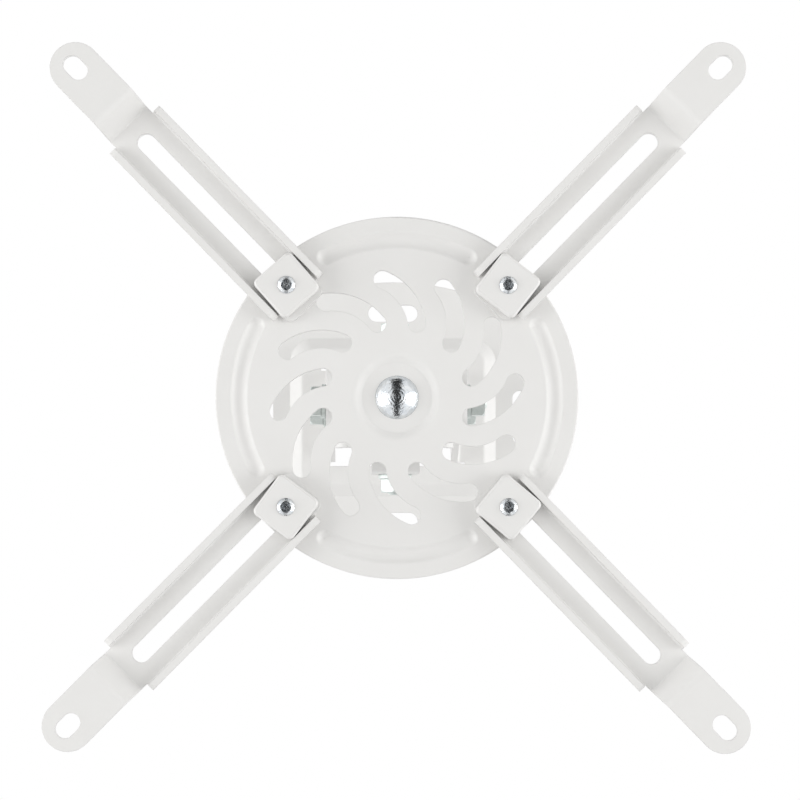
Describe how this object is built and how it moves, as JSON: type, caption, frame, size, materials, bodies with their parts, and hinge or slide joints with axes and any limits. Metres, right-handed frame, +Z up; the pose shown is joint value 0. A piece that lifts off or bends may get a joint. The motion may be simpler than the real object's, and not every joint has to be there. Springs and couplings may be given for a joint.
{
  "type": "projector ceiling mount",
  "caption": "White steel projector ceiling mount: a slotted round disc with clamped channel arms hangs from folded brackets that tilt, roll and swivel under a ceiling plate.",
  "frame": {"origin": "on the ceiling, midway between the plate's two screw slots", "axes": "+Z up into the ceiling; X along the two tilt bolts, to the right in the picture; Y along the roll bolt, downward in the picture"},
  "size_m": [0.2393, 0.2427, 0.1325],
  "materials": {
    "white_coat": "satin powder coat, fine and slightly uneven",
    "zinc": "bright zinc plate"
  },
  "bodies": {
    "ceiling": {"ceiling_plate": "white_coat", "hanger_bolt": "zinc", "hanger_washers": "zinc", "hanger_nut": "zinc"},
    "hanger": {"hanger_bracket": "white_coat"},
    "cradle": {"cradle_bracket": "white_coat", "roll_bolt": "zinc", "roll_washers": "zinc", "roll_nut": "zinc"},
    "swivel_base": {"swivel_bracket": "white_coat", "tilt_bolt": "zinc", "tilt_washers": "zinc", "tilt_nut": "zinc"},
    "disc": {"spider_disc": "white_coat", "centre_bolt": "zinc", "centre_washer": "zinc", "centre_nut": "zinc", "clamp_washers": "zinc"},
    "clamp_front_left": {"clamp_plate_front_left": "white_coat", "clamp_bolt_front_left": "zinc"},
    "arm_front_left": {"arm_front_left": "white_coat"},
    "clamp_front_right": {"clamp_plate_front_right": "white_coat", "clamp_bolt_front_right": "zinc"},
    "arm_front_right": {"arm_front_right": "white_coat"},
    "clamp_back_left": {"clamp_plate_back_left": "white_coat", "clamp_bolt_back_left": "zinc"},
    "arm_back_left": {"arm_back_left": "white_coat"},
    "clamp_back_right": {"clamp_plate_back_right": "white_coat", "clamp_bolt_back_right": "zinc"},
    "arm_back_right": {"arm_back_right": "white_coat"}
  },
  "joints": [
    {"name": "slope", "type": "hinge", "parent": "ceiling", "child": "hanger", "pos_m": [0, 0, -0.042], "axis": [1, 0, 0], "range_deg": [-15, 15]},
    {"name": "roll", "type": "hinge", "parent": "hanger", "child": "cradle", "pos_m": [0, 0, -0.066], "axis": [0, 1, 0], "range_deg": [-8, 8]},
    {"name": "tilt", "type": "hinge", "parent": "cradle", "child": "swivel_base", "pos_m": [0, 0, -0.097], "axis": [1, 0, 0], "range_deg": [-15, 15]},
    {"name": "swivel", "type": "hinge", "parent": "swivel_base", "child": "disc", "pos_m": [0, 0, -0.118], "axis": [0, 0, 1], "continuous": true},
    {"name": "swing_front_left", "type": "hinge", "parent": "disc", "child": "clamp_front_left", "pos_m": [-0.038, -0.038, -0.12], "axis": [0, 0, 1], "range_deg": [-45, 45]},
    {"name": "reach_front_left", "type": "slide", "parent": "clamp_front_left", "child": "arm_front_left", "axis": [-0.6984, -0.7157, 0], "range_m": [-0.025, 0.003]},
    {"name": "swing_front_right", "type": "hinge", "parent": "disc", "child": "clamp_front_right", "pos_m": [0.038, -0.038, -0.12], "axis": [0, 0, 1], "range_deg": [-45, 45]},
    {"name": "reach_front_right", "type": "slide", "parent": "clamp_front_right", "child": "arm_front_right", "axis": [0.6984, -0.7157, 0], "range_m": [-0.025, 0.003]},
    {"name": "swing_back_left", "type": "hinge", "parent": "disc", "child": "clamp_back_left", "pos_m": [-0.038, 0.038, -0.12], "axis": [0, 0, 1], "range_deg": [-45, 45]},
    {"name": "reach_back_left", "type": "slide", "parent": "clamp_back_left", "child": "arm_back_left", "axis": [-0.7034, 0.7108, 0], "range_m": [-0.025, 0.003]},
    {"name": "swing_back_right", "type": "hinge", "parent": "disc", "child": "clamp_back_right", "pos_m": [0.038, 0.038, -0.12], "axis": [0, 0, 1], "range_deg": [-45, 45]},
    {"name": "reach_back_right", "type": "slide", "parent": "clamp_back_right", "child": "arm_back_right", "axis": [0.6972, 0.7169, 0], "range_m": [-0.025, 0.003]}
  ]
}
